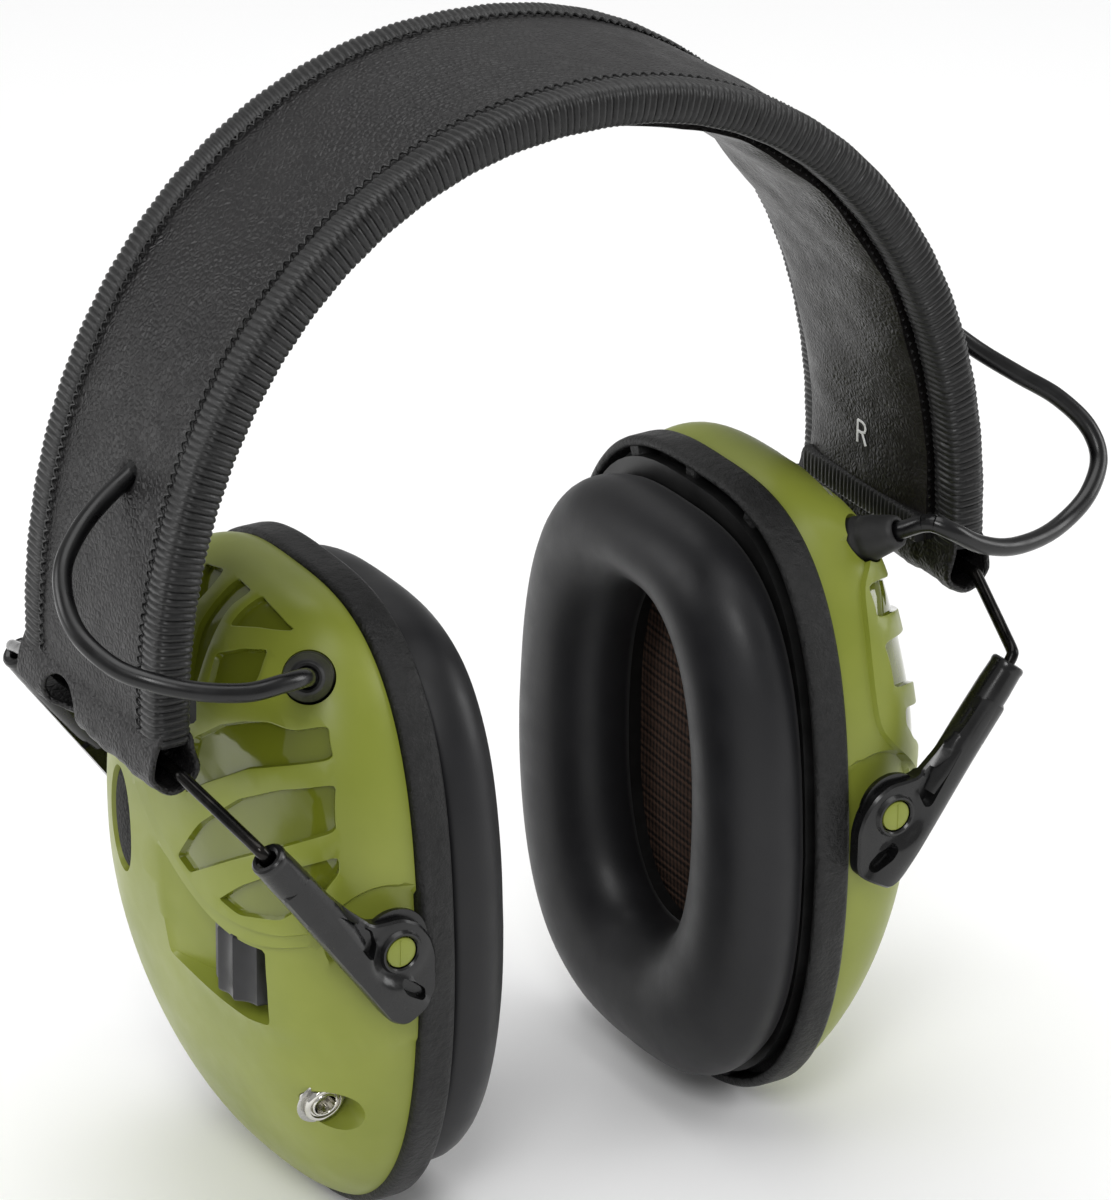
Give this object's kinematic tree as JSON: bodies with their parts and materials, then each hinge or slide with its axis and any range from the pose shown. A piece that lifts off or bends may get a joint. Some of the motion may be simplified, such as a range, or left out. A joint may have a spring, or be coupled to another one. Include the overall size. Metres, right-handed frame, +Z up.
{
  "type": "folding electronic earmuffs with audio input",
  "caption": "Folding earmuff headphones: padded leather headband, wire yokes with sliding arms, green domed ear cups with soft cushions, volume wheel and audio jack.",
  "frame": {"origin": "inside top of the headband, where the crown of the head touches the lining", "axes": "+X to the wearer's right, +Y to the wearer's front, +Z up"},
  "size_m": [0.1874, 0.0898, 0.1876],
  "materials": {
    "band_leather": "semi-matte fine grain",
    "lining_leather": "soft semi-matte, lightly wrinkled",
    "foam": "open-cell foam",
    "spring_steel": "plain",
    "binding": "ribbed overlock stitching",
    "cable_jacket": "smooth satin",
    "black_wire": "semi-gloss black",
    "arm_plastic": "semi-gloss black",
    "green_plastic": "satin moulded",
    "green_gloss": "high gloss",
    "ring_plastic": "fine texture",
    "plate_plastic": "plain",
    "cushion_skin": "soft smooth matte",
    "mesh": "woven mesh",
    "speaker_black": "plain",
    "steel": "plated",
    "chrome": "polished",
    "mic_can": "plain",
    "rubber": "satin ribbed",
    "board": "solder mask",
    "cell_wrap": "plain"
  },
  "bodies": {
    "headband": {"band_cover": "band_leather", "band_lining": "lining_leather", "band_foam": "foam", "spring_strip": "spring_steel", "edge_binding_front": "binding", "edge_binding_rear": "binding", "band_end_left": "band_leather", "band_end_right": "band_leather", "band_lead": "cable_jacket", "cable_loop_left": "cable_jacket", "cable_loop_right": "cable_jacket"},
    "left_yoke": {"left_wire_yoke": "black_wire"},
    "left_arms": {"left_arm_front": "arm_plastic", "left_arm_rear": "arm_plastic"},
    "left_pins": {"left_pivot_pin_front": "green_plastic", "left_pivot_pin_rear": "green_plastic"},
    "left_cup": {"left_cup_shell": "green_plastic", "left_window_panel": "green_gloss", "left_bumper_ring": "ring_plastic", "left_cushion_plate": "plate_plastic", "left_ear_cushion": "cushion_skin", "left_foam_liner": "foam", "left_mesh_liner": "mesh", "left_speaker": "speaker_black", "left_speaker_frame": "plate_plastic", "left_frame_screws": "steel", "left_microphone": "mic_can", "left_mic_foam": "foam", "left_strain_relief": "rubber", "volume_switch": "steel", "circuit_board": "board", "jack_socket": "chrome", "jack_contacts": "steel"},
    "right_yoke": {"right_wire_yoke": "black_wire"},
    "right_arms": {"right_arm_front": "arm_plastic", "right_arm_rear": "arm_plastic"},
    "right_pins": {"right_pivot_pin_front": "green_plastic", "right_pivot_pin_rear": "green_plastic"},
    "right_cup": {"right_cup_shell": "green_plastic", "right_window_panel": "green_gloss", "right_bumper_ring": "ring_plastic", "right_cushion_plate": "plate_plastic", "right_ear_cushion": "cushion_skin", "right_foam_liner": "foam", "right_mesh_liner": "mesh", "right_speaker": "speaker_black", "right_speaker_frame": "plate_plastic", "right_frame_screws": "steel", "right_microphone": "mic_can", "right_mic_foam": "foam", "right_strain_relief": "rubber", "battery_tray": "plate_plastic", "battery_cells": "cell_wrap", "battery_contacts": "steel"},
    "volume_wheel": {"volume_wheel": "rubber"},
    "battery_door": {"battery_door": "green_plastic"}
  },
  "joints": [
    {"name": "left_fold", "type": "hinge", "parent": "headband", "child": "left_yoke", "pos_m": [-0.0735, 0, -0.086], "axis": [0, 1, 0], "range_deg": [-58, 0], "deforming": ["cable_loop_left"]},
    {"name": "left_arm_slide", "type": "slide", "parent": "left_yoke", "child": "left_arms", "axis": [0.606, 0, -0.7955], "range_m": [0, 0.02]},
    {"name": "left_pivot_fold", "type": "hinge", "parent": "left_arms", "child": "left_pins", "pos_m": [-0.0459, 0, -0.115], "axis": [0, -1, 0], "range_deg": [-58, 0]},
    {"name": "left_cup_tilt", "type": "hinge", "parent": "left_pins", "child": "left_cup", "pos_m": [-0.0459, 0, -0.115], "axis": [0, 1, 0], "range_deg": [-6, 6]},
    {"name": "right_fold", "type": "hinge", "parent": "headband", "child": "right_yoke", "pos_m": [0.0735, 0, -0.086], "axis": [0, -1, 0], "range_deg": [-58, 0], "deforming": ["cable_loop_right"]},
    {"name": "right_arm_slide", "type": "slide", "parent": "right_yoke", "child": "right_arms", "axis": [-0.606, 0, -0.7955], "range_m": [0, 0.02]},
    {"name": "right_pivot_fold", "type": "hinge", "parent": "right_arms", "child": "right_pins", "pos_m": [0.0459, 0, -0.115], "axis": [0, 1, 0], "range_deg": [-58, 0]},
    {"name": "right_cup_tilt", "type": "hinge", "parent": "right_pins", "child": "right_cup", "pos_m": [0.0459, 0, -0.115], "axis": [0, -1, 0], "range_deg": [-6, 6]},
    {"name": "volume_turn", "type": "hinge", "parent": "left_cup", "child": "volume_wheel", "pos_m": [-0.054, -0.017, -0.1245], "axis": [0, 0, 1], "range_deg": [0, 270]},
    {"name": "battery_door_hinge", "type": "hinge", "parent": "right_cup", "child": "battery_door", "pos_m": [0.0552, 0, -0.1562], "axis": [0, 1, 0], "range_deg": [0, 75]}
  ],
  "couplings": [
    {"joint": "left_pivot_fold", "follows": "left_fold", "ratio": 1},
    {"joint": "right_pivot_fold", "follows": "right_fold", "ratio": 1}
  ]
}
